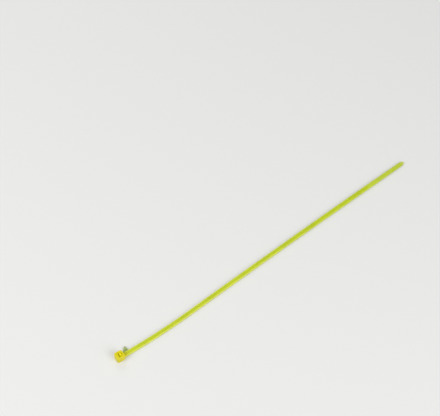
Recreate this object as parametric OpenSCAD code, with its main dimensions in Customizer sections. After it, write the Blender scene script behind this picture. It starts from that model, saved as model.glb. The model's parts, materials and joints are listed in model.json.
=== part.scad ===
// Miniature cable tie, moulded in one piece of nylon.
// It lies on its toothed face, with the smooth face of the strap and the exit
// face of the head up. The origin is the middle of the slot on the entry face,
// the strap leaves the head along +X, and +Z is up. All sizes are in millimetres.

/* [Strap] */
// Length from the back of the head to the tip
overall_len = 200; // [120:1:300]
// Width of the strap
strap_w = 2.45; // [2.3:0.05:3.2]
// Thickness of the strap
strap_t = 1.05; // [0.95:0.05:1.4]
// Radius of the two long edges of the smooth face
smooth_edge_r = 0.22; // [0.1:0.01:0.3]
// Radius of the two long edges of the toothed face
rail_edge_r = 0.1; // [0.05:0.01:0.15]

/* [Rack] */
// Distance from one tooth to the next
tooth_pitch = 0.85; // [0.8:0.05:1.2]
// Depth of the gaps between the teeth
tooth_depth = 0.42; // [0.3:0.01:0.5]
// Flat crest left on each tooth
tooth_crest = 0.12; // [0.08:0.01:0.2]
// Width of the plain rail on each side of the teeth
rail_w = 0.42; // [0.3:0.01:0.5]
// Plain strap between the head and the first tooth
neck_len = 6.5; // [4:0.5:12]

/* [Tail] */
// Length of the plain tail beyond the last tooth
tail_len = 27; // [18:1:40]
// Width of the tail where its point begins
tail_end_w = 2.35; // [1.6:0.05:2.4]
// Thickness of the tail where its point begins
tail_end_t = 0.85; // [0.6:0.05:0.95]
// Length of the point
point_len = 2.2; // [2:0.1:6]
// Radius of the nose of the point
nose_r = 0.7; // [0.3:0.05:0.7]
// Number of finger grooves across the underside of the tail
grip_count = 11; // [4:1:14]
// Distance from one finger groove to the next
grip_pitch = 1.3; // [1:0.05:1.5]
// Width of each finger groove
grip_groove_w = 0.6; // [0.3:0.05:0.8]
// Depth of each finger groove
grip_depth = 0.14; // [0.08:0.01:0.2]

/* [Head] */
// Width of the head
head_w = 4.3; // [4.2:0.05:5.4]
// Height of the head
head_h = 3.8; // [3.6:0.05:5]
// Thickness of the wall behind the slot
back_wall = 1.6; // [0.9:0.05:2]
// Thickness of the wall between the pawl's pocket and the strap
front_wall = 0.9; // [0.8:0.05:1.6]
// Corner radius of the head seen from above
head_corner_r = 0.9; // [0.4:0.05:1]
// Radius of the edges round the exit face
head_top_r = 0.4; // [0.2:0.05:0.5]
// How far the front of the head leans back over its height
front_lean = 0.15; // [0.05:0.05:0.5]
// Radius of the hollow fillet between the head and the smooth face of the strap
root_fillet_r = 0.8; // [0.4:0.05:1.2]
// Radius of the hollow fillet between the head and each edge of the strap
neck_fillet_r = 0.3; // [0.2:0.05:0.5]

/* [Slot and pawl] */
// Clearance round a strap in the slot, on each side
slot_clearance = 0.1; // [0.05:0.01:0.2]
// How far the slot flares out at the entry face
entry_flare = 0.3; // [0.15:0.05:0.4]
// Height of the flare
entry_flare_h = 0.45; // [0.3:0.05:0.6]
// Number of teeth on the pawl
pawl_teeth = 3; // [2:1:3]
// Height of the pawl's plain tip over its last tooth
pawl_tip = 0.25; // [0.1:0.05:0.4]
// Height of the pawl's hinge over the entry face
hinge_z = 0.8; // [0.7:0.05:1]
// Thickness of the pawl behind its teeth
pawl_t = 0.6; // [0.45:0.05:0.7]
// Gap between the pawl's side and the rail it passes
pawl_side_gap = 0.06; // [0.03:0.01:0.1]
// How far the pawl leans into the slot over its height
pawl_lean = 0.22; // [0.1:0.01:0.3]
// Width of the gap that the pawl bends back into
flex_gap = 0.55; // [0.45:0.05:0.9]
// Gap between the pawl and each side of its pocket
window_gap = 0.22; // [0.15:0.01:0.3]

/* [Gate] */
// Length of strap edge that the torn film gate is left on
gate_w = 3.6; // [2:0.1:4]
// How far the torn gate sticks out of the strap
gate_reach = 3; // [1:0.1:4]
// Width of its torn end
gate_end_w = 1.5; // [0.5:0.1:2]
// Thickness of the film
gate_t = 0.16; // [0.1:0.01:0.3]
// Height of the film's underside over the toothed face
gate_z = 0.45; // [0.3:0.05:0.6]

/* [Lie] */
// Length of the curved stretch in front of the head
bend_len = 42.8; // [20:0.1:60]
// Turn of the curved stretch, positive to the left
bend_deg = 6.1; // [0:0.1:12]
// Turn of the rest of the toothed strap, positive to the left
run_deg = -1; // [-3:0.1:3]

/* [Hidden] */

edge_fn = 32;
overlap = 0.05;

// Facets of the swept strap: along the bend, along the run, round the nose and
// across each long edge
bend_steps = 12;
run_steps = 8;
nose_steps = 7;
edge_steps = 4;

slot_depth = strap_t + 2 * slot_clearance;
slot_w = strap_w + 2 * slot_clearance;
slot_front = slot_depth / 2;
slot_back = -slot_depth / 2;

rack_w = strap_w - 2 * rail_w;
pawl_w = rack_w - 2 * pawl_side_gap;
pawl_h = pawl_teeth * tooth_pitch + pawl_tip;
pawl_root = slot_front;
pocket_w = pawl_w + 2 * window_gap;
pocket_front = pawl_root + pawl_t - pawl_lean + flex_gap;

head_back = slot_back - back_wall;
head_front = pocket_front + front_wall;
head_len = head_front - head_back;
front_top = head_front - front_lean;
lean_angle = atan2(front_lean, head_h - head_top_r - strap_t);

strap_len = overall_len + head_back - head_front;
teeth_len = strap_len - neck_len - tail_len;
teeth_count = floor(teeth_len / tooth_pitch);
tail_relief = (strap_t - tail_end_t) / 2;
tail_start = strap_len - tail_len;
point_start = strap_len - point_len;
nose_centre = strap_len - nose_r;

// The nose runs from where the sides of the point meet it to just short of the tip
nose_first = atan2(tail_end_w / 2, point_len - nose_r)
    + acos(nose_r / norm([tail_end_w / 2, point_len - nose_r]));
nose_last = 172;

function arc_end(len, turn) =
    abs(turn) < 0.001 ? [len, 0]
    : let (r = len / (turn * PI / 180)) [r * sin(turn), r * (1 - cos(turn))];

function turned(p, a) = [p.x * cos(a) - p.y * sin(a), p.x * sin(a) + p.y * cos(a)];

// How far s has come from one value to the next, from 0 to 1
function part_way(s, from, to) = min(max((s - from) / (to - from), 0), 1);

// Heading of the strap at a distance s from the front of the head
function heading(s) =
    bend_deg * part_way(s, 0, bend_len) + run_deg * part_way(s, bend_len, tail_start);

// Middle of the strap at a distance s from the front of the head
function path_at(s) =
    s <= 0 ? [s, 0]
    : s <= bend_len ? arc_end(s, heading(s))
    : s <= tail_start
        ? path_at(bend_len) + turned(arc_end(s - bend_len, heading(s) - bend_deg), bend_deg)
    : path_at(tail_start) + turned([s - tail_start, 0], heading(s));

// Width of the strap: full, then the taper of the tail, then the sides of the point
function width_at(s) =
    s <= point_start ? strap_w + (tail_end_w - strap_w) * part_way(s, tail_start, point_start)
    : 2 * nose_r * sin(nose_angle(s));

// Angle round the nose, from the strap's side of it, of a station on the point
function nose_angle(s) = acos((nose_centre - s) / nose_r);

// Heights of the toothed face and of the smooth face
function low_at(s) = tail_relief * part_way(s, point_start, nose_centre);
function high_at(s) =
    strap_t + (tail_end_t - strap_t) * part_way(s, tail_start, point_start) - low_at(s);

// Puts its children on the strap at a distance s from the front of the head
module on_strap(s) {
    p = path_at(s);
    translate([head_front + p.x, p.y, 0])
        rotate([0, 0, heading(s)])
            children();
}

// Extrudes a section drawn across the strap forward along +X
module forward(len) {
    rotate([90, 0, 90])
        linear_extrude(height = len)
            children();
}

// Extrudes an outline drawn in X and Z to both sides of the middle plane
module sideways(width) {
    translate([0, width / 2, 0])
        rotate([90, 0, 0])
            linear_extrude(height = width)
                children();
}

// Quarter of a round edge of a section, from this angle on
function quarter(middle, r, from) =
    [for (i = [0 : edge_steps]) let (a = from + 90 * i / edge_steps) middle + r * [cos(a), sin(a)]];

// Section of the strap at a station, in its own Y and Z. The edges shrink with the point.
function section_at(s) =
    let (
        w = width_at(s) / 2,
        low = low_at(s),
        high = high_at(s),
        shrink = min(width_at(s) / tail_end_w, 1),
        top_r = smooth_edge_r * shrink,
        low_r = rail_edge_r * shrink
    )
    concat(
        quarter([w - top_r, high - top_r], top_r, 0),
        quarter([top_r - w, high - top_r], top_r, 90),
        quarter([low_r - w, low + low_r], low_r, 180),
        quarter([w - low_r, low + low_r], low_r, 270)
    );

// The same section where it lies on the path
function ring_at(s) =
    let (middle = path_at(s), a = heading(s))
    [
        for (q = section_at(s))
            [head_front + middle.x - q.x * sin(a), middle.y + q.x * cos(a), q.y]
    ];

// Distances of the sections, from inside the head's front wall to the nose
stations = concat(
    [-front_wall / 2],
    [for (i = [0 : bend_steps]) bend_len * i / bend_steps],
    [for (i = [1 : run_steps]) bend_len + (tail_start - bend_len) * i / run_steps],
    [point_start],
    [
        for (i = [0 : nose_steps])
            nose_centre - nose_r * cos(nose_first + (nose_last - nose_first) * i / nose_steps)
    ]
);

// The strap and its tail, swept along the path as one body
module strap_blank() {
    rings = [for (s = stations) ring_at(s)];
    count = len(rings[0]);
    last = len(rings) - 1;
    sides = [
        for (i = [0 : last - 1])
            for (j = [0 : count - 1])
                let (
                    a = i * count + j,
                    b = i * count + (j + 1) % count,
                    c = b + count,
                    d = a + count
                )
                each [[a, d, c], [a, c, b]]
    ];
    rooted_end = [for (j = [0 : count - 1]) j];
    nose_end = [for (j = [count - 1 : -1 : 0]) last * count + j];
    polyhedron(
        points = [for (ring = rings) each ring],
        faces = concat([rooted_end, nose_end], sides),
        convexity = 4
    );
}

// One gap between two teeth: the ramp of one, then the steep face of the next,
// which looks back to the head and catches on the pawl
module tooth_gap() {
    gap_len = tooth_pitch - tooth_crest;
    sideways(rack_w)
        polygon([
            [0, -overlap],
            [0, 0],
            [gap_len - tooth_crest, tooth_depth],
            [gap_len, tooth_depth],
            [gap_len, -overlap]
        ]);
}

module rack_gaps() {
    for (i = [0 : teeth_count - 1])
        on_strap(neck_len + i * tooth_pitch)
            tooth_gap();
}

module grip_grooves() {
    for (i = [1 : grip_count])
        on_strap(point_start - i * grip_pitch)
            sideways(strap_w + 2 * overlap)
                translate([0, -overlap])
                    square([grip_groove_w, grip_depth + overlap]);
}

// Outline of the head seen from above
module head_plan() {
    translate([head_back + head_corner_r, -head_w / 2])
        square([head_len - 2 * head_corner_r, head_w]);
    translate([head_back, -head_w / 2 + head_corner_r])
        square([head_len, head_w - 2 * head_corner_r]);
    for (x = [head_back + head_corner_r, head_front - head_corner_r])
        for (side = [-1, 1])
            translate([x, side * (head_w / 2 - head_corner_r)])
                circle(r = head_corner_r, $fn = edge_fn);
}

// Quarter-round rim of a corner of the exit face
module rim_corner() {
    rotate_extrude($fn = edge_fn)
        intersection() {
            translate([head_corner_r - head_top_r, 0])
                circle(r = head_top_r, $fn = edge_fn);
            square([head_corner_r, head_top_r]);
        }
}

// The outside of the head: upright up to the smooth face of the strap, then with
// the front leaning back to the rounded rim of the exit face
module head_block() {
    hull() {
        linear_extrude(height = strap_t)
            head_plan();
        for (x = [head_back + head_corner_r, front_top - head_corner_r])
            for (side = [-1, 1])
                translate([x, side * (head_w / 2 - head_corner_r), head_h - head_top_r])
                    rim_corner();
    }
}

// Quarter of a square with a hollow round taken out, from a corner at the origin
module hollow_corner(r, root) {
    difference() {
        translate([-root, -root])
            square(r + root);
        translate([r, r])
            circle(r = r, $fn = edge_fn);
    }
}

// Hollow fillet that carries the leaning front of the head down onto the smooth face
module root_fillet() {
    r = root_fillet_r;
    middle = [head_front + r * tan(45 - lean_angle / 2), strap_t + r];
    foot = [middle.x, strap_t];
    top = middle - r * [cos(lean_angle), sin(lean_angle)];
    sideways(strap_w - 2 * smooth_edge_r)
        difference() {
            polygon([
                foot - [0, overlap],
                foot,
                top,
                top - [overlap, 0],
                [head_front - overlap, strap_t - overlap]
            ]);
            translate(middle)
                circle(r = r, $fn = edge_fn);
        }
}

// Hollow fillets that carry the head's front round onto both edges of the strap
module neck_fillets() {
    for (side = [0, 1])
        mirror([0, side, 0])
            translate([head_front, strap_w / 2, 0])
                linear_extrude(height = strap_t - smooth_edge_r)
                    hollow_corner(neck_fillet_r, smooth_edge_r);
}

// Outline of the slot along one axis, flared at the entry face
module flared_outline(size) {
    polygon([
        [-size / 2 - entry_flare, -overlap],
        [-size / 2 - entry_flare, 0],
        [-size / 2, entry_flare_h],
        [-size / 2, head_h + overlap],
        [size / 2, head_h + overlap],
        [size / 2, entry_flare_h],
        [size / 2 + entry_flare, 0],
        [size / 2 + entry_flare, -overlap]
    ]);
}

module strap_slot() {
    intersection() {
        sideways(slot_w + 4 * entry_flare)
            flared_outline(slot_depth);
        translate([-slot_depth, 0, 0])
            forward(2 * slot_depth)
                flared_outline(slot_w);
    }
}

// Pocket in front of the slot, open to it and to the exit face
module pawl_pocket() {
    translate([0, -pocket_w / 2, hinge_z])
        cube([pocket_front, pocket_w, head_h - hinge_z + overlap]);
}

// Front of the pawl at a height over its hinge, before its teeth are added
function pawl_face(z) = pawl_root - pawl_lean * z / pawl_h;

// The pawl stands on its hinge, with ramps to the entry and steep faces to the exit
module pawl() {
    tooth_fronts = [
        for (i = [0 : pawl_teeth - 1])
            for (corner = [[0, 0], [tooth_pitch - tooth_crest, -tooth_depth], [tooth_pitch, -tooth_depth]])
                let (z = i * tooth_pitch + corner.x)
                    [pawl_face(z) + corner.y, hinge_z + z]
    ];
    sideways(pawl_w)
        polygon(concat(
            [[pawl_root, hinge_z - overlap]],
            tooth_fronts,
            [
                [pawl_face(pawl_h), hinge_z + pawl_h],
                [pawl_face(pawl_h) + pawl_t, hinge_z + pawl_h],
                [pawl_root + pawl_t, hinge_z + tooth_pitch / 2],
                [pawl_root + pawl_t, hinge_z - overlap]
            ]
        ));
}

// The film gate that tore off beside the head, on the far edge of the strap
module torn_gate() {
    translate([head_front, 0, gate_z])
        linear_extrude(height = gate_t)
            polygon([
                [0, strap_w / 2 - rail_w],
                [0, strap_w / 2 + overlap],
                [gate_w - gate_end_w, strap_w / 2 + gate_reach],
                [gate_w, strap_w / 2 + gate_reach],
                [gate_w, strap_w / 2 - rail_w]
            ]);
}

module head() {
    difference() {
        head_block();
        strap_slot();
        pawl_pocket();
    }
}

module strap() {
    difference() {
        strap_blank();
        rack_gaps();
        grip_grooves();
    }
}

module cable_tie() {
    color("gold") head();
    color("gold") pawl();
    color("yellowgreen") root_fillet();
    color("yellowgreen") neck_fillets();
    color("yellowgreen") strap();
    color("olive") torn_gate();
}

cable_tie();
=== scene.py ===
"""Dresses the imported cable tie: its moulded form, its nylon, and a plain studio."""

import json
import logging
import math
from collections.abc import Callable, Iterator
from contextlib import contextmanager
from dataclasses import dataclass, field
from enum import Enum
from typing import NamedTuple

import bmesh
import bpy
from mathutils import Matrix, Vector

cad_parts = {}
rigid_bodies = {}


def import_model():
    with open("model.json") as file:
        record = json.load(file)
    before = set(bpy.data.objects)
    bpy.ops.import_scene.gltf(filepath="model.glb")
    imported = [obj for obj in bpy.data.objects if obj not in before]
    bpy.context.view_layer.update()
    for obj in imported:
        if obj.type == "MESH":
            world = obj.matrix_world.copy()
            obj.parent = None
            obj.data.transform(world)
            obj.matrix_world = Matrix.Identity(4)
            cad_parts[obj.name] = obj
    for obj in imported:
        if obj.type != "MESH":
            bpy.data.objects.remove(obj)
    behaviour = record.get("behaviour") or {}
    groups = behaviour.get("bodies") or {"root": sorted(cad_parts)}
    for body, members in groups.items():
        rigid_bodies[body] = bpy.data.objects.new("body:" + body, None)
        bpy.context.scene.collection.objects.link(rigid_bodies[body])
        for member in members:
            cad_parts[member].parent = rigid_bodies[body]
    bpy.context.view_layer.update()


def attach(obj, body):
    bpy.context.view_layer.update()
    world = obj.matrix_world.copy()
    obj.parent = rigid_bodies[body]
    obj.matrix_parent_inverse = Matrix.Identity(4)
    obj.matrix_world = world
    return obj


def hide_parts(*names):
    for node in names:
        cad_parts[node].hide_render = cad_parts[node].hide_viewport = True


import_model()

LOG = logging.getLogger("cable_tie")

MM = 0.001
NODE = "cable_tie"
STRAP_MAP = "strap_mm"
OVERALL_LEN = 200
SMOOTH_DEG = 32
# How far apart two places may be, in millimetres, and count as one
TOUCH = 1e-4
NEAR = 1e-3

Point = tuple[float, float, float]
Span = tuple[float, float]
Test = Callable[[object], bool]
# Between these values a noise texture has nearly all of its swing
NOISE_SWING: Span = (0.3, 0.7)


class Element(Enum):
    """What a mesh selection is made of."""

    VERT = "verts"
    EDGE = "edges"
    FACE = "faces"


class Solid(Enum):
    """How one solid is worked into another."""

    CUT = "DIFFERENCE"
    JOIN = "UNION"


def deselect_all() -> None:
    """Leaves nothing selected and nothing active."""
    for obj in bpy.context.view_layer.objects:
        obj.select_set(False)
    bpy.context.view_layer.objects.active = None


def activate(obj: bpy.types.Object) -> None:
    """Makes this the only selected object, and the active one.

    Args:
        obj: The object to work on.
    """
    deselect_all()
    obj.select_set(True)
    bpy.context.view_layer.objects.active = obj


@contextmanager
def editing(obj: bpy.types.Object) -> Iterator[None]:
    """Works on one object in edit mode.

    Args:
        obj: The object to edit.

    Yields:
        Nothing, while the object is in edit mode.
    """
    activate(obj)
    bpy.ops.object.mode_set(mode="EDIT")
    yield
    bpy.ops.object.mode_set(mode="OBJECT")


def select(obj: bpy.types.Object, element: Element, wanted: Test) -> int:
    """Selects the elements of a mesh in edit mode that a test picks.

    Args:
        obj: The object in edit mode.
        element: Whether vertices, edges or faces are tested.
        wanted: The test, which gets one element.

    Returns:
        How many elements are selected.
    """
    bpy.ops.mesh.select_mode(type=element.name)
    bpy.ops.mesh.select_all(action="DESELECT")
    mesh = bmesh.from_edit_mesh(obj.data)
    picked = [part for part in getattr(mesh, element.value) if wanted(part)]
    for part in picked:
        part.select_set(True)
    mesh.select_flush_mode()
    bmesh.update_edit_mesh(obj.data)
    return len(picked)


def box(name: str, low: Point, high: Point) -> bpy.types.Object:
    """Adds a block between two corners, with its place in its mesh.

    Args:
        name: Name of the new object.
        low: Lowest corner, in millimetres.
        high: Highest corner, in millimetres.

    Returns:
        The block.
    """
    deselect_all()
    middle = [(a + b) / 2 for a, b in zip(low, high)]
    size = [b - a for a, b in zip(low, high)]
    bpy.ops.mesh.primitive_cube_add(size=1, location=middle, scale=size)
    obj = bpy.context.object
    obj.name = name
    bpy.ops.object.transform_apply(location=True, rotation=True, scale=True)
    return obj


def bevel_edges(obj: bpy.types.Object, wanted: Test, radius: float, steps: int) -> None:
    """Rounds the edges of a mesh that a test picks.

    Args:
        obj: The object to work on.
        wanted: The test, which gets one edge.
        radius: Radius of the round, in millimetres.
        steps: Facets across the round.
    """
    with editing(obj):
        if select(obj, Element.EDGE, wanted):
            bpy.ops.mesh.bevel(offset=radius, segments=steps, affect="EDGES", clamp_overlap=False)


def bisect(obj: bpy.types.Object, through: Point, facing: Point) -> None:
    """Cuts off what lies in front of a plane and closes the cut.

    Args:
        obj: The object to work on.
        through: A point of the plane, in millimetres.
        facing: The plane's normal, toward what is cut off.
    """
    with editing(obj):
        bpy.ops.mesh.select_all(action="SELECT")
        bpy.ops.mesh.bisect(plane_co=through, plane_no=facing, clear_outer=True, use_fill=True)


def modify(obj: bpy.types.Object, kind: str, **settings: object) -> None:
    """Adds a modifier and applies it.

    Args:
        obj: The object to work on.
        kind: The modifier's type.
        settings: Its settings by name.
    """
    activate(obj)
    modifier = obj.modifiers.new(kind.lower(), kind)
    for name, value in settings.items():
        setattr(modifier, name, value)
    bpy.ops.object.modifier_apply(modifier=modifier.name)


def work_in(target: bpy.types.Object, tool: bpy.types.Object, solid: Solid) -> None:
    """Cuts a solid out of another or joins it on, and removes the tool.

    Args:
        target: The object that is kept.
        tool: The solid that is worked in.
        solid: Whether it is cut out or joined on.
    """
    modify(target, "BOOLEAN", operation=solid.value, solver="EXACT", object=tool)
    bpy.data.objects.remove(tool, do_unlink=True)


def along_x(edge: bmesh.types.BMEdge) -> bool:
    """Says whether an edge runs along the strap."""
    a, b = (v.co for v in edge.verts)
    return abs(a.y - b.y) < TOUCH and abs(a.z - b.z) < TOUCH


def edge_middle(edge: bmesh.types.BMEdge) -> Vector:
    """Gives the middle of an edge."""
    return (edge.verts[0].co + edge.verts[1].co) / 2


def hex_to_linear(code: str) -> tuple[float, float, float, float]:
    """Turns an sRGB colour into the linear one that shaders take.

    Args:
        code: Six hex digits.

    Returns:
        Red, green, blue and a full alpha.
    """
    channels = [int(code[i : i + 2], 16) / 255 for i in (0, 2, 4)]
    linear = [c / 12.92 if c <= 0.04045 else ((c + 0.055) / 1.055) ** 2.4 for c in channels]
    return (*linear, 1.0)


def add_node(
    tree: bpy.types.NodeTree,
    kind: str,
    settings: dict[str, object] | None = None,
    inputs: dict[str | int, object] | None = None,
) -> bpy.types.Node:
    """Adds a node with its settings, values and links.

    Args:
        tree: The node tree.
        kind: The node's type.
        settings: The node's own settings by name.
        inputs: A value or an output socket for each input, by name or number.

    Returns:
        The node.
    """
    node = tree.nodes.new(kind)
    for name, value in (settings or {}).items():
        setattr(node, name, value)
    for name, value in (inputs or {}).items():
        if isinstance(value, bpy.types.NodeSocket):
            tree.links.new(value, node.inputs[name])
        else:
            node.inputs[name].default_value = value
    return node


@dataclass(frozen=True)
class MouldedNylon:
    """Nylon 6/6, dyed a fluorescent yellow and injection moulded.

    It lets some light in, so the thick head looks a warm yellow and the thin
    strap a greener one, and its as-moulded skin has a soft sheen.
    """

    strap: "Strap"
    head: "Head"
    name: str = "moulded_nylon_66"
    head_hex: str = "D8CD15"
    # Painted light in the slot's recess: a brighter colour and a glow of its own, in place of shade
    painted_slot_glow_hex: str = "E6DC0C"
    painted_slot_light: float = 0.1
    # The strap's pale colour is partly painted sheen on the rails; the middle and gap colours are
    # partly the thin plastic's tint and partly painted shade
    strap_and_rail_sheen_hex: str = "D4DA52"
    tail_hex: str = "C0CF38"
    middle_tint_and_shade_hex: str = "BECC08"
    middle_tint_and_shade_show: float = 0.8
    gap_tint_and_shade_hex: str = "B2C400"
    gap_tint_and_shade_show: float = 0.4
    # Painted highlight on the tip
    tip_highlight_hex: str = "D6DF78"
    tip_highlight_show: float = 0.75
    ior: float = 1.53
    roughness: float = 0.34
    gloss: float = 0.3
    scatter_weight: float = 0.5
    scatter_depth: float = 1.2 * MM
    scatter_radius: Point = (1.0, 0.9, 0.5)
    flow_mm: float = 6.0
    flow_tones: Span = (0.94, 1.04)
    flow_sheen: float = 0.05
    grain_mm: float = 0.12
    grain_depth: float = 0.004 * MM
    grain_show: float = 0.6
    tail_mm: Span = (40, 190)
    head_mm: Span = (6, 1.5)
    painted_glow_soft_mm: float = 0.1
    middle_soft_mm: float = 0.15
    end_soft_mm: Span = (-0.2, 0.4)

    def material(self) -> bpy.types.Material:
        """Builds the material.

        Returns:
            The material, with patterns on Object coordinates.
        """
        material = bpy.data.materials.new(self.name)
        material.use_nodes = True
        tree = material.node_tree
        shader = tree.nodes["Principled BSDF"]
        place = add_node(tree, "ShaderNodeTexCoord").outputs["Object"]
        # Faint drifts of tone and sheen where the melt flowed along the strap
        flow = add_node(
            tree,
            "ShaderNodeTexNoise",
            inputs={"Vector": place, "Scale": 1 / (self.flow_mm * MM), "Detail": 2.0},
        ).outputs[0]
        sheens = (self.roughness - self.flow_sheen, self.roughness + self.flow_sheen)
        least, most = NOISE_SWING
        tone, sheen = (
            add_node(
                tree,
                "ShaderNodeMapRange",
                inputs={
                    "Value": flow,
                    "From Min": least,
                    "From Max": most,
                    "To Min": low,
                    "To Max": high,
                },
            ).outputs[0]
            for low, high in (self.flow_tones, sheens)
        )
        # Painted light: the recess of the slot glows and its colour is made brighter, in place of
        # the shade there
        painted_glow = self.painted_slot_glow(tree, place)
        colour = add_node(
            tree,
            "ShaderNodeHueSaturation",
            inputs={"Color": self.body(tree, place, painted_glow), "Value": tone},
        ).outputs[0]
        # Painted light: the recess gives out light by the glow's share
        light = add_node(
            tree,
            "ShaderNodeMath",
            {"operation": "MULTIPLY"},
            {0: painted_glow, 1: self.painted_slot_light},
        ).outputs[0]
        # The eroded steel of the mould leaves a fine grain in the skin
        grain = add_node(
            tree,
            "ShaderNodeTexNoise",
            inputs={"Vector": place, "Scale": 1 / (self.grain_mm * MM), "Detail": 3.0},
        ).outputs[0]
        bump = add_node(
            tree,
            "ShaderNodeBump",
            inputs={"Strength": self.grain_show, "Distance": self.grain_depth, "Height": grain},
        ).outputs[0]
        tree.links.new(colour, shader.inputs["Base Color"])
        tree.links.new(sheen, shader.inputs["Roughness"])
        tree.links.new(light, shader.inputs["Emission Strength"])
        shader.inputs["Emission Color"].default_value = hex_to_linear(self.painted_slot_glow_hex)
        tree.links.new(bump, shader.inputs["Normal"])
        shader.inputs["IOR"].default_value = self.ior
        shader.inputs["Specular IOR Level"].default_value = self.gloss
        shader.inputs["Subsurface Weight"].default_value = self.scatter_weight
        shader.inputs["Subsurface Scale"].default_value = self.scatter_depth
        shader.inputs["Subsurface Radius"].default_value = self.scatter_radius
        return material

    def body(
        self, tree: bpy.types.NodeTree, place: bpy.types.NodeSocket, painted_glow: bpy.types.NodeSocket
    ) -> bpy.types.NodeSocket:
        """Gives the colour through the thickness, from the thin tail to the thick head, with
        painted shade, sheen, highlight and glow laid over it.

        Args:
            tree: The node tree.
            place: Object coordinates.
            painted_glow: The share of the slot's painted glow.

        Returns:
            The socket of the colour.
        """
        along = add_node(tree, "ShaderNodeSeparateXYZ", inputs={0: place}).outputs["X"]
        tail, head = (
            add_node(
                tree,
                "ShaderNodeMapRange",
                {"interpolation_type": "SMOOTHSTEP"},
                {"Value": along, "From Min": low * MM, "From Max": high * MM},
            ).outputs[0]
            for low, high in (self.tail_mm, self.head_mm)
        )
        middle, shaded_gaps, tip = self.strap_tints_shade_and_highlight(tree)
        layers = (
            (tail, self.tail_hex),
            # Painted shade, partly the thinner plastic's tint, deepens the middle and the gaps; the
            # rails keep the paler colour as painted sheen
            (middle, self.middle_tint_and_shade_hex),
            (shaded_gaps, self.gap_tint_and_shade_hex),
            # Painted highlight: a paler tip
            (tip, self.tip_highlight_hex),
            (head, self.head_hex),
            # Painted light: the slot's recess turns a brighter golden yellow
            (painted_glow, self.painted_slot_glow_hex),
        )
        colour = hex_to_linear(self.strap_and_rail_sheen_hex)
        for share, code in layers:
            colour = add_node(
                tree,
                "ShaderNodeMix",
                {"data_type": "RGBA"},
                {0: share, 6: colour, 7: hex_to_linear(code)},
            ).outputs[2]
        return colour

    def painted_slot_glow(
        self, tree: bpy.types.NodeTree, place: bpy.types.NodeSocket
    ) -> bpy.types.NodeSocket:
        """Gives where the walls of the slot and its pocket face each other.

        There a painted glow and a brighter painted colour make this nylon a bright golden yellow in
        place of the shade.

        Args:
            tree: The node tree.
            place: Object coordinates.

        Returns:
            The socket of the painted glow's share, 1 in the recess and 0 on the outside.
        """
        head = self.head
        x, y, z = add_node(tree, "ShaderNodeSeparateXYZ", inputs={0: place}).outputs
        aside = add_node(
            tree,
            "ShaderNodeMath",
            {"operation": "ABSOLUTE"},
            {0: y},
        ).outputs[0]
        soft = self.painted_glow_soft_mm
        limits = (
            (x, -head.slot_x - 3 * soft, -head.slot_x - 2 * soft),
            (x, head.pocket_front + 3 * soft, head.pocket_front + 2 * soft),
            (aside, head.slot_y + 3 * soft, head.slot_y + 2 * soft),
            (z, head.height, head.height - 2 * soft),
            (z, 0, 4 * soft),
        )
        in_metres = [(value, none * MM, whole * MM) for value, none, whole in limits]
        return self.within(tree, 1, in_metres)

    @staticmethod
    def within(
        tree: bpy.types.NodeTree,
        share: float,
        limits: list[tuple[bpy.types.NodeSocket, float, float]],
    ) -> bpy.types.NodeSocket:
        """Fades a share out past each of several limits.

        Args:
            tree: The node tree.
            share: The share inside all the limits.
            limits: For each limit a value, where it has no share and where it has all.

        Returns:
            The socket of the share.
        """
        for value, none, whole in limits:
            edge = add_node(
                tree,
                "ShaderNodeMapRange",
                {"interpolation_type": "SMOOTHSTEP"},
                {"Value": value, "From Min": none, "From Max": whole},
            ).outputs[0]
            share = add_node(
                tree,
                "ShaderNodeMath",
                {"operation": "MULTIPLY"},
                {0: share, 1: edge},
            ).outputs[0]
        return share

    def strap_tints_shade_and_highlight(self, tree: bpy.types.NodeTree) -> list[bpy.types.NodeSocket]:
        """Gives where the strap's colour changes with its thickness and with painted light.

        The plastic is thin between the rails and thinnest over each gap, so the
        middle looks deeper and greener, and each gap shows as a faint bar; both are
        partly that tint and partly painted shade, and the rails keep a paler colour as
        painted sheen. The tip gets a paler colour as a painted highlight.

        Args:
            tree: The node tree.

        Returns:
            The sockets of three shares: the shaded middle, the shaded gaps and the highlighted tip.
        """
        rack = self.strap
        flat = add_node(tree, "ShaderNodeUVMap", {"uv_map": STRAP_MAP}).outputs[0]
        along, across, _ = add_node(tree, "ShaderNodeSeparateXYZ", inputs={0: flat}).outputs
        aside = add_node(
            tree,
            "ShaderNodeMath",
            {"operation": "ABSOLUTE"},
            {0: across},
        ).outputs[0]
        bars = add_node(
            tree,
            "ShaderNodeMath",
            {"operation": "PINGPONG"},
            {0: along, 1: rack.pitch / 2},
        ).outputs[0]
        half, soft = rack.width / 2 - rack.rail, self.middle_soft_mm
        none, whole = self.end_soft_mm
        middle = [
            (aside, half + soft, half - soft),
            (along, rack.tail_start - none, rack.tail_start - whole),
        ]
        shaded_gaps = [(along, rack.neck + none, rack.neck + whole), (bars, 0, rack.pitch / 2)]
        tip = [(along, rack.point_start, rack.length - rack.nose_r)]
        return [
            self.within(tree, self.middle_tint_and_shade_show, middle),
            self.within(tree, self.gap_tint_and_shade_show, middle + shaded_gaps),
            self.within(tree, self.tip_highlight_show, tip),
        ]


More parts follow.
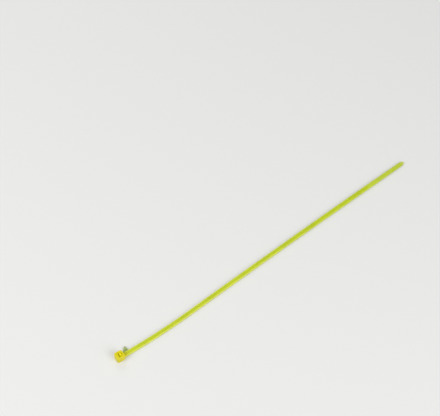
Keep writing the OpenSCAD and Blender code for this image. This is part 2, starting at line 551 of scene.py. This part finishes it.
@dataclass(frozen=True)
class FilmNylon:
    """The same nylon as a thin torn film.

    It is clearer and greener than the strap, and the tear has stretched its end
    until it turned pale and cloudy.
    """

    root_y: float
    end_y: float
    name: str = "nylon_66_film"
    film_hex: str = "94AE1C"
    cloudy_hex: str = "B0B878"
    ior: float = 1.53
    roughness: float = 0.3
    cover: float = 0.4
    streak_mm: float = 0.5
    clear_mm: float = 0.5

    def material(self) -> bpy.types.Material:
        """Builds the material.

        Returns:
            The material, with patterns on Object coordinates.
        """
        material = bpy.data.materials.new(self.name)
        material.use_nodes = True
        tree = material.node_tree
        shader = tree.nodes["Principled BSDF"]
        place = add_node(tree, "ShaderNodeTexCoord").outputs["Object"]
        across = add_node(tree, "ShaderNodeSeparateXYZ", inputs={0: place}).outputs["Y"]
        streaks = add_node(
            tree,
            "ShaderNodeTexNoise",
            inputs={"Vector": place, "Scale": 1 / (self.streak_mm * MM), "Detail": 3.0},
        ).outputs[0]
        stretch = add_node(
            tree,
            "ShaderNodeMapRange",
            {"interpolation_type": "SMOOTHSTEP"},
            {
                "Value": across,
                "From Min": (self.root_y + self.clear_mm) * MM,
                "From Max": self.end_y * MM,
            },
        ).outputs[0]
        cloud = add_node(
            tree,
            "ShaderNodeMath",
            {"operation": "MULTIPLY", "use_clamp": True},
            {0: stretch, 1: streaks},
        ).outputs[0]
        colour = add_node(
            tree,
            "ShaderNodeMix",
            {"data_type": "RGBA"},
            {0: cloud, 6: hex_to_linear(self.film_hex), 7: hex_to_linear(self.cloudy_hex)},
        ).outputs[2]
        tree.links.new(colour, shader.inputs["Base Color"])
        shader.inputs["Roughness"].default_value = self.roughness
        shader.inputs["IOR"].default_value = self.ior
        shader.inputs["Alpha"].default_value = self.cover
        return material


class Ring(NamedTuple):
    """One section of the strap: its distance, its width and its two faces."""

    x: float
    width: float
    low: float
    high: float


@dataclass
class Lie:
    """The line that the strap lies in, in millimetres from the front of the head."""

    bend_len: float = 42.8
    bend_deg: float = 6.1
    run_deg: float = -1.0

    def heading(self, s: float, run_end: float) -> float:
        """Gives the strap's heading in radians.

        Args:
            s: Distance from the front of the head.
            run_end: Distance at which the tail starts and the strap lies straight.

        Returns:
            The heading, positive to the left.
        """
        bend = min(max(s / self.bend_len, 0), 1)
        run = min(max((s - self.bend_len) / (run_end - self.bend_len), 0), 1)
        return math.radians(self.bend_deg * bend + self.run_deg * run)

    def points(self, length: float, run_end: float, step: float = 0.5) -> list[Point]:
        """Gives the points of the line.

        Args:
            length: How far the line goes.
            run_end: Distance at which the tail starts.
            step: Distance between points.

        Returns:
            The points, from the front of the head on.
        """
        count = math.ceil(length / step)
        size = length / count
        points = [(0.0, 0.0, 0.0)]
        for i in range(count):
            turn = self.heading((i + 0.5) * size, run_end)
            x, y, _ = points[-1]
            points.append((x + size * math.cos(turn), y + size * math.sin(turn), 0.0))
        return points


@dataclass
class Strap:
    """The toothed strap with its tail, modelled straight along +X and then laid."""

    length: float
    width: float = 2.45
    thick: float = 1.05
    smooth_r: float = 0.22
    rail_r: float = 0.1
    pitch: float = 0.85
    depth: float = 0.42
    crest: float = 0.12
    rail: float = 0.42
    neck: float = 6.5
    tail: float = 27.0
    tail_w: float = 2.35
    tail_t: float = 0.85
    point: float = 2.2
    nose_r: float = 0.7
    nose_deg: float = 172
    root_r: float = 0.04
    rim_r: float = 0.03
    grips: int = 11
    grip_pitch: float = 1.3
    grip_w: float = 0.6
    grip_depth: float = 0.14
    grip_r: float = 0.08
    sunk: float = 0.1
    steps: int = 9
    lie: Lie = field(default_factory=Lie)

    @property
    def gap(self) -> float:
        """Length of one gap between teeth."""
        return self.pitch - self.crest

    @property
    def tail_start(self) -> float:
        """Distance from the head to the start of the tail."""
        return self.length - self.tail

    @property
    def point_start(self) -> float:
        """Distance from the head to the start of the point."""
        return self.length - self.point

    @property
    def teeth(self) -> int:
        """Number of gaps in the rack."""
        return math.floor((self.tail_start - self.neck) / self.pitch)

    def tooth_gap(self) -> bpy.types.Object:
        """Models the block that is cut out between two teeth, ramp first.

        Returns:
            The block, its foot below the toothed face.
        """
        start = self.crest / 2
        half = self.width / 2 - self.rail
        gap = box("tooth_gap", (start, -half, -1), (start + self.gap, half, self.depth))
        ramp = Vector((self.gap - self.crest, 0, self.depth))
        bisect(gap, (start, 0, 0), (-ramp.z, 0, ramp.x))
        bevel_edges(gap, lambda e: edge_middle(e).z > self.depth - TOUCH, self.root_r, 2)
        return gap

    def cell(self) -> bpy.types.Object:
        """Models one pitch of the strap, from the middle of one crest to the next.

        Returns:
            The cell, open at both ends so that copies merge.
        """
        half = self.width / 2
        cell = box("moulded_tie", (0, -half, 0), (self.pitch, half, self.thick))
        high = self.thick / 2
        bevel_edges(cell, lambda e: along_x(e) and edge_middle(e).z > high, self.smooth_r, 6)
        bevel_edges(cell, lambda e: along_x(e) and edge_middle(e).z < TOUCH, self.rail_r, 3)
        work_in(cell, self.tooth_gap(), Solid.CUT)
        bevel_edges(cell, self.on_rim, self.rim_r, 2)
        with editing(cell):
            select(cell, Element.FACE, self.at_end)
            bpy.ops.mesh.delete(type="FACE")
        return cell

    def on_rim(self, edge: bmesh.types.BMEdge) -> bool:
        """Says whether an edge is part of the rim of a gap, but not where its ramp begins.

        Args:
            edge: An edge of the cell.

        Returns:
            Whether it is on the rim.
        """
        half = self.width / 2 - self.rail
        flat = all(abs(v.co.z) < TOUCH for v in edge.verts)
        inner = all(abs(v.co.y) < half + TOUCH for v in edge.verts)
        return flat and inner and self.crest / 2 + NEAR < edge_middle(edge).x < self.pitch - NEAR

    def at_end(self, face: bmesh.types.BMFace) -> bool:
        """Says whether a face closes one end of the cell."""
        x = face.calc_center_median().x
        return abs(face.normal.x) > 0.999 and not NEAR <= x <= self.pitch - NEAR

    def draw_out(self, strap: bpy.types.Object, far: bool, rings: list[Ring]) -> None:
        """Closes one open end of the strap and draws it out ring by ring.

        Args:
            strap: The strap.
            far: Whether it is the end toward the tip.
            rings: The sections that it is drawn to.
        """
        with editing(strap):
            last = Ring(self.close_end(strap, far), self.width, 0.0, self.thick)
            for ring in rings:
                way = (ring.x - last.x, 0, ring.low - last.low)
                bpy.ops.mesh.extrude_region_move(TRANSFORM_OT_translate={"value": way})
                grow = (1, ring.width / last.width, (ring.high - ring.low) / (last.high - last.low))
                bpy.ops.transform.resize(value=grow, center_override=(ring.x, 0, ring.low))
                last = ring

    @staticmethod
    def close_end(strap: bpy.types.Object, far: bool) -> float:
        """Fills one open end and leaves the new face selected.

        Args:
            strap: The strap in edit mode.
            far: Whether it is the end toward the tip.

        Returns:
            The distance at which the end lies.
        """
        mesh = bmesh.from_edit_mesh(strap.data)
        xs = [v.co.x for v in mesh.verts]
        end = max(xs) if far else min(xs)
        select(
            strap,
            Element.EDGE,
            lambda e: e.is_boundary and abs(edge_middle(e).x - end) < NEAR,
        )
        bpy.ops.mesh.edge_face_add()
        return end

    def neck_rings(self, head: "Head") -> list[Ring]:
        """Gives the rings of the neck and of the hollow fillets that meet the head.

        Inside the head the underside rises, so that no two faces lie in one plane.

        Args:
            head: The head that the strap grows out of.

        Returns:
            The rings, from the neck back into the head.
        """
        lean = head.lean_angle
        side_r, top_r = head.neck_fillet, head.root_fillet
        centre = top_r * math.tan(math.pi / 4 - lean / 2)
        touch = centre - top_r * math.cos(lean)
        rings = [Ring(self.neck / 2, self.width, 0.0, self.thick)]
        for i in range(self.steps + 1):
            x = centre + (touch - centre) * math.sin(math.pi / 2 * i / self.steps)
            side = side_r - math.sqrt(side_r**2 - max(side_r - max(x, 0), 0) ** 2)
            high = self.thick + top_r - math.sqrt(top_r**2 - (x - centre) ** 2)
            rings.append(Ring(x, self.width + 2 * side, max(-x, 0.0), high))
        root, sunk = rings[-1], self.sunk
        rings.append(Ring(-head.front_wall / 3, root.width - 2 * sunk, sunk, root.high - sunk))
        return rings

    def nose_rings(self) -> list[Ring]:
        """Gives the rings of the tail, its point and its round nose.

        Returns:
            The rings, toward the tip.
        """
        relief = (self.thick - self.tail_t) / 2
        centre = self.length - self.nose_r
        run = (self.tail_w / 2, self.point - self.nose_r)
        first = math.atan2(*run) + math.acos(self.nose_r / math.hypot(*run))
        last = math.radians(self.nose_deg)
        rings = [
            Ring(self.tail_start, self.width, 0.0, self.thick),
            Ring(self.point_start, self.tail_w, 0.0, self.tail_t),
        ]
        for i in range(self.steps + 1):
            angle = first + (last - first) * i / self.steps
            x = centre - self.nose_r * math.cos(angle)
            share = min((x - self.point_start) / (centre - self.point_start), 1)
            low = relief * share
            rings.append(Ring(x, 2 * self.nose_r * math.sin(angle), low, self.tail_t - low))
        return rings

    def finger_grooves(self) -> bpy.types.Object:
        """Models the blocks that are cut across the underside of the tail.

        Returns:
            All the blocks as one object.
        """
        start = self.point_start - self.grips * self.grip_pitch
        half = self.width / 2 + 0.5
        groove = box("grooves", (start, -half, -0.5), (start + self.grip_w, half, self.grip_depth))
        bevel_edges(groove, lambda e: edge_middle(e).z > 0 and not along_x(e), self.grip_r, 3)
        modify(
            groove,
            "ARRAY",
            count=self.grips,
            use_relative_offset=False,
            use_constant_offset=True,
            constant_offset_displace=(self.grip_pitch, 0, 0),
        )
        return groove

    def lay(self, strap: bpy.types.Object) -> None:
        """Bends the straight strap into the line that it lies in.

        Args:
            strap: The strap, with the front of the head at x = 0.
        """
        points = self.lie.points(self.length, self.tail_start)
        data = bpy.data.curves.new("lie", "CURVE")
        data.dimensions = "2D"
        spline = data.splines.new("POLY")
        spline.points.add(len(points) - 1)
        for spot, place in zip(spline.points, points):
            spot.co = (*place, 1)
        curve = bpy.data.objects.new("lie", data)
        bpy.context.scene.collection.objects.link(curve)
        modify(strap, "CURVE", object=curve, deform_axis="POS_X")
        bpy.data.objects.remove(curve, do_unlink=True)

    def map_straight(self, strap: bpy.types.Object) -> None:
        """Keeps the place along and across the straight strap as a UV map, in millimetres.

        Args:
            strap: The strap before it is laid.
        """
        mesh = strap.data
        layer = mesh.uv_layers.new(name=STRAP_MAP)
        places = [mesh.vertices[loop.vertex_index].co for loop in mesh.loops]
        layer.data.foreach_set("uv", [value for place in places for value in (place.x, place.y)])

    def model(self, head: "Head") -> bpy.types.Object:
        """Models the whole strap.

        Args:
            head: The head that the strap grows out of.

        Returns:
            The strap, laid, with its root inside the head's front wall.
        """
        strap = self.cell()
        modify(
            strap,
            "ARRAY",
            count=self.teeth,
            use_relative_offset=False,
            use_constant_offset=True,
            constant_offset_displace=(self.pitch, 0, 0),
            use_merge_vertices=True,
            merge_threshold=NEAR,
        )
        with editing(strap):
            bpy.ops.mesh.select_all(action="SELECT")
            bpy.ops.transform.translate(value=(self.neck - self.crest / 2, 0, 0))
        self.draw_out(strap, True, self.nose_rings())
        self.draw_out(strap, False, self.neck_rings(head))
        work_in(strap, self.finger_grooves(), Solid.CUT)
        self.map_straight(strap)
        self.lay(strap)
        with editing(strap):
            bpy.ops.mesh.select_all(action="SELECT")
            bpy.ops.mesh.normals_make_consistent(inside=False)
            bpy.ops.transform.translate(value=(head.front, 0, 0))
        return strap


@dataclass
class Pawl:
    """The toothed tongue in the head, which stands on its hinge."""

    root_x: float
    width: float
    pitch: float
    depth: float
    crest: float
    teeth: int = 3
    thick: float = 0.6
    lean: float = 0.22
    tip: float = 0.25
    hinge_z: float = 0.8
    overlap: float = 0.05

    @property
    def height(self) -> float:
        """Height of the pawl over its hinge."""
        return self.teeth * self.pitch + self.tip

    def face(self, z: float) -> float:
        """Gives the place of the pawl's front at a height over its hinge."""
        return self.root_x - self.lean * z / self.height

    def tooth(self, index: int) -> bpy.types.Object:
        """Models one tooth, its ramp to the entry face and its steep side to the exit.

        Args:
            index: Number of the tooth, 0 at the hinge.

        Returns:
            The tooth, its back inside the pawl.
        """
        low = index * self.pitch
        tip = self.face(low) - self.depth
        high = low + self.pitch
        tooth = box(
            f"pawl_tooth_{index}",
            (tip, -self.width / 2, self.hinge_z + low - self.overlap),
            (self.face(low) + self.thick / 2, self.width / 2, self.hinge_z + high),
        )
        ramp = Vector((self.depth, 0, self.crest - self.pitch))
        bisect(tooth, (self.face(low), 0, self.hinge_z + low), (ramp.z, 0, -ramp.x))
        return tooth

    def model(self) -> bpy.types.Object:
        """Models the pawl with its teeth.

        Returns:
            The pawl, its foot sunk into the wall of the slot.
        """
        half = self.width / 2
        pawl = box(
            "pawl",
            (self.root_x, -half, self.hinge_z),
            (self.root_x + self.thick, half, self.hinge_z + self.height),
        )
        with editing(pawl):
            select(pawl, Element.FACE, lambda f: f.normal.z > 0.9)
            bpy.ops.transform.translate(value=(-self.lean, 0, 0))
            select(pawl, Element.FACE, lambda f: f.normal.z < -0.9)
            sunk = {"value": (self.overlap, 0, -self.overlap)}
            bpy.ops.mesh.extrude_region_move(TRANSFORM_OT_translate=sunk)
        for index in range(self.teeth):
            work_in(pawl, self.tooth(index), Solid.JOIN)
        return pawl


@dataclass
class Head:
    """The square head with its slot, its pawl's pocket and its fillets."""

    strap_w: float = Strap.width
    strap_t: float = Strap.thick
    rack_w: float = Strap.width - 2 * Strap.rail
    width: float = 4.3
    height: float = 3.8
    back_wall: float = 1.6
    front_wall: float = 0.9
    corner_r: float = 0.9
    top_r: float = 0.4
    lean: float = 0.15
    clearance: float = 0.1
    flare: float = 0.3
    flare_h: float = 0.45
    flex_gap: float = 0.55
    window_gap: float = 0.22
    side_gap: float = 0.06
    root_fillet: float = 0.8
    neck_fillet: float = 0.3
    rim_r: float = 0.06
    pocket_r: float = 0.12

    def __post_init__(self) -> None:
        """Works out the pawl and the places along X."""
        self.slot_x = self.strap_t / 2 + self.clearance
        self.slot_y = self.strap_w / 2 + self.clearance
        pawl_w = self.rack_w - 2 * self.side_gap
        self.pawl = Pawl(self.slot_x, pawl_w, Strap.pitch, Strap.depth, Strap.crest)
        self.back = -self.slot_x - self.back_wall
        self.pocket_front = self.slot_x + self.pawl.thick - self.pawl.lean + self.flex_gap
        self.front = self.pocket_front + self.front_wall
        self.lean_angle = math.atan2(self.lean, self.height - self.top_r - self.strap_t)

    def block(self) -> bpy.types.Object:
        """Models the outside: an upright foot, the leaning front, the corners and the rim.

        Returns:
            The solid block.
        """
        half = self.width / 2
        block = box("head", (self.back, -half, 0), (self.front, half, self.strap_t))
        rise = self.height - self.strap_t
        with editing(block):
            select(block, Element.FACE, lambda f: f.normal.z > 0.9)
            bpy.ops.mesh.extrude_region_move(TRANSFORM_OT_translate={"value": (0, 0, rise)})
            select(block, Element.EDGE, lambda e: self.on_top(e) and self.at_front(e))
            bpy.ops.transform.translate(value=(-rise * math.tan(self.lean_angle), 0, 0))
        bevel_edges(block, self.upright, self.corner_r, 8)
        bevel_edges(block, self.on_top, self.top_r, 6)
        return block

    def on_top(self, edge: bmesh.types.BMEdge) -> bool:
        """Says whether an edge lies in the exit face."""
        return all(abs(v.co.z - self.height) < TOUCH for v in edge.verts)

    def at_front(self, edge: bmesh.types.BMEdge) -> bool:
        """Says whether an edge runs across the front of the upright block."""
        return all(abs(v.co.x - self.front) < TOUCH for v in edge.verts)

    @staticmethod
    def upright(edge: bmesh.types.BMEdge) -> bool:
        """Says whether an edge goes up the head."""
        return abs(edge.verts[0].co.z - edge.verts[1].co.z) > 0.5

    def slot(self) -> bpy.types.Object:
        """Models the block that is cut out for the strap, flared at the entry face.

        Returns:
            The block, past the head at both ends.
        """
        x, y = self.slot_x, self.slot_y
        slot = box("slot", (-x, -y, self.flare_h), (x, y, self.height + 1))
        with editing(slot):
            select(slot, Element.FACE, lambda f: f.normal.z < -0.9)
            down = {"value": (0, 0, -self.flare_h)}
            bpy.ops.mesh.extrude_region_move(TRANSFORM_OT_translate=down)
            grow = ((x + self.flare) / x, (y + self.flare) / y, 1)
            bpy.ops.transform.resize(value=grow, center_override=(0, 0, 0))
            bpy.ops.mesh.extrude_region_move(TRANSFORM_OT_translate={"value": (0, 0, -1)})
        return slot

    def pocket(self) -> bpy.types.Object:
        """Models the block that is cut out round and behind the pawl.

        Returns:
            The block, from the hinge up.
        """
        half = self.pawl.width / 2 + self.window_gap
        high = self.height + 1
        pocket = box("pocket", (0, -half, self.pawl.hinge_z), (self.pocket_front, half, high))
        front = self.pocket_front - TOUCH
        bevel_edges(pocket, lambda e: edge_middle(e).x > front, self.pocket_r, 3)
        return pocket

    def model(self) -> bpy.types.Object:
        """Models the head, with a rounded rim round its openings.

        Returns:
            The head with its pawl.
        """
        head = self.block()
        work_in(head, self.slot(), Solid.CUT)
        work_in(head, self.pocket(), Solid.CUT)
        bevel_edges(head, self.on_rim, self.rim_r, 3)
        work_in(head, self.pawl.model(), Solid.JOIN)
        with editing(head):
            bpy.ops.mesh.select_all(action="SELECT")
            bpy.ops.mesh.dissolve_degenerate(threshold=NEAR)
        return head

    def on_rim(self, edge: bmesh.types.BMEdge) -> bool:
        """Says whether an edge is part of the rim of the openings in the exit face.

        Args:
            edge: An edge of the head.

        Returns:
            Whether it is on the rim.
        """
        reach, front = self.slot_y + NEAR, self.pocket_front + NEAR
        places = [v.co for v in edge.verts]
        inner = all(abs(place.y) < reach and -reach < place.x < front for place in places)
        return inner and self.on_top(edge)


@dataclass
class TornGate:
    """The film that fed the mould, torn off beside the head."""

    head_front: float
    strap_w: float
    base: float = 3.6
    reach: float = 3.0
    end: float = 1.5
    thick: float = 0.16
    low: float = 0.45
    seat: float = 0.42
    thinning: float = 0.5
    ragged: tuple[float, ...] = (-0.3, -0.05, -0.16, 0.0, -0.22)

    @property
    def root_y(self) -> float:
        """Place of the strap's edge, where the film begins to show."""
        return self.strap_w / 2

    @property
    def end_y(self) -> float:
        """Place of the film's torn end."""
        return self.root_y + self.reach

    def model(self) -> bpy.types.Object:
        """Models the film, thinning toward its ragged end.

        Returns:
            The film, its root inside the strap.
        """
        edge, far = self.root_y, self.end_y
        front, high = self.head_front, self.low + self.thick
        film = box("gate_film", (front, edge, self.low), (front + self.base, far, high))
        with editing(film):
            select(film, Element.FACE, lambda f: f.normal.y > 0.9)
            bpy.ops.transform.resize(
                value=(self.end / self.base, 1, self.thinning),
                center_override=(front + self.base, far, self.low + self.thick / 2),
            )
            select(film, Element.FACE, lambda f: f.normal.y < -0.9)
            bpy.ops.mesh.extrude_region_move(TRANSFORM_OT_translate={"value": (0, -self.seat, 0)})
            select(film, Element.EDGE, lambda e: edge_middle(e).y > far - NEAR and along_x(e))
            bpy.ops.mesh.subdivide(number_cuts=len(self.ragged) - 2)
        start = front + self.base - self.end
        step = self.end / (len(self.ragged) - 1)
        for vertex in film.data.vertices:
            if vertex.co.y > far - NEAR:
                vertex.co.y += self.ragged[round((vertex.co.x - start) / step)]
        return film


class Lamp(NamedTuple):
    """One square soft light: its place round the aim in millimetres, its size and power."""

    name: str
    side_deg: float
    down_deg: float
    distance: float
    size: float
    watts: float


@dataclass
class Studio:
    """Camera, soft lights and a plain pale floor."""

    aim: Point = (94.63, 48.75, 0.0)
    side_deg: float = -34.06
    down_deg: float = 55.0
    distance: float = 773.5
    view_deg: float = 17.7
    sensor: float = 36.0
    lamps: tuple[Lamp, ...] = (
        Lamp("key", -94, 42, 900, 500, 3.2),
        Lamp("fill", 12, 30, 900, 600, 3.4),
        Lamp("back", 165, 35, 900, 500, 1.4),
    )
    sky: float = 0.5
    floor_hex: str = "E6E6E4"
    floor_size: float = 6000
    floor_drop: float = 0.02
    paper_roughness: float = 0.9
    paper_gloss: float = 0.2
    clip: Span = (0.01, 10)

    def direction(self, side_deg: float, down_deg: float) -> Vector:
        """Gives the way from the object to a camera or light.

        Args:
            side_deg: Azimuth, 0 at -Y and 90 at +X.
            down_deg: Elevation over the floor.

        Returns:
            A unit vector.
        """
        side, down = math.radians(side_deg), math.radians(down_deg)
        flat = math.cos(down)
        return Vector((math.sin(side) * flat, -math.cos(side) * flat, math.sin(down)))

    def place(
        self, obj: bpy.types.Object, side_deg: float, down_deg: float, distance: float
    ) -> None:
        """Puts an object round the aim and turns it there.

        Args:
            obj: The camera or light.
            side_deg: Azimuth.
            down_deg: Elevation.
            distance: Distance from the aim, in millimetres.
        """
        aim = Vector(self.aim) * MM
        way = self.direction(side_deg, down_deg)
        obj.location = aim + way * distance * MM
        obj.rotation_euler = (-way).to_track_quat("-Z", "Y").to_euler()
        bpy.context.scene.collection.objects.link(obj)

    def camera(self) -> None:
        """Sets the camera at the photograph's angle."""
        data = bpy.data.cameras.new("camera")
        data.sensor_fit = "HORIZONTAL"
        data.sensor_width = self.sensor
        data.lens = self.sensor / 2 / math.tan(math.radians(self.view_deg / 2))
        data.clip_start, data.clip_end = self.clip
        camera = bpy.data.objects.new("camera", data)
        self.place(camera, self.side_deg, self.down_deg, self.distance)
        bpy.context.scene.camera = camera

    def lights(self) -> None:
        """Lights the object at a plain level."""
        for lamp in self.lamps:
            data = bpy.data.lights.new(lamp.name, "AREA")
            data.size = lamp.size * MM
            data.energy = lamp.watts
            light = bpy.data.objects.new(lamp.name, data)
            self.place(light, lamp.side_deg, lamp.down_deg, lamp.distance)
        world = bpy.data.worlds.new("studio")
        world.use_nodes = True
        sky = world.node_tree.nodes["Background"]
        sky.inputs["Color"].default_value = (1, 1, 1, 1)
        sky.inputs["Strength"].default_value = self.sky
        bpy.context.scene.world = world

    def floor(self) -> bpy.types.Object:
        """Lays the floor just under the tie.

        Returns:
            The floor.
        """
        deselect_all()
        x, y, _ = self.aim
        spot = Vector((x, y, -self.floor_drop)) * MM
        bpy.ops.mesh.primitive_plane_add(size=self.floor_size * MM, location=spot)
        floor = bpy.context.object
        floor.name = "floor"
        # Uncoated paper scatters light all ways, so it shows the shadow and no shine
        material = bpy.data.materials.new("matt_paper")
        material.use_nodes = True
        shader = material.node_tree.nodes["Principled BSDF"]
        shader.inputs["Base Color"].default_value = hex_to_linear(self.floor_hex)
        shader.inputs["Roughness"].default_value = self.paper_roughness
        shader.inputs["Specular IOR Level"].default_value = self.paper_gloss
        floor.data.materials.append(material)
        return floor

    def build(self) -> None:
        """Builds the whole studio."""
        self.camera()
        self.lights()
        self.floor()
        bpy.context.scene.view_settings.view_transform = "Standard"


def to_metres(obj: bpy.types.Object) -> None:
    """Scales a finished mesh from millimetres to metres.

    Args:
        obj: The piece.
    """
    activate(obj)
    obj.scale = (MM, MM, MM)
    bpy.ops.object.transform_apply(location=True, rotation=True, scale=True)
    bpy.ops.object.shade_smooth_by_angle(angle=math.radians(SMOOTH_DEG))


def dress(obj: bpy.types.Object, material: bpy.types.Material) -> None:
    """Gives a piece its finish, and puts it on the part's body in the node's place.

    Args:
        obj: The piece.
        material: Its material.
    """
    to_metres(obj)
    obj.data.materials.clear()
    obj.data.materials.append(material)
    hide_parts(NODE)
    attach(obj, "root")
    LOG.info("%s: %d faces", obj.name, len(obj.data.polygons))


def main() -> None:
    """Builds the studio, then the tie."""
    logging.basicConfig(level=logging.INFO)
    Studio().build()
    head = Head()
    strap = Strap(OVERALL_LEN + head.back - head.front)
    tie = strap.model(head)
    work_in(tie, head.model(), Solid.JOIN)
    tie.name = "moulded_tie"
    dress(tie, MouldedNylon(strap, head).material())
    gate = TornGate(head.front, head.strap_w)
    dress(gate.model(), FilmNylon(gate.root_y, gate.end_y).material())


if __name__ == "__main__":
    main()
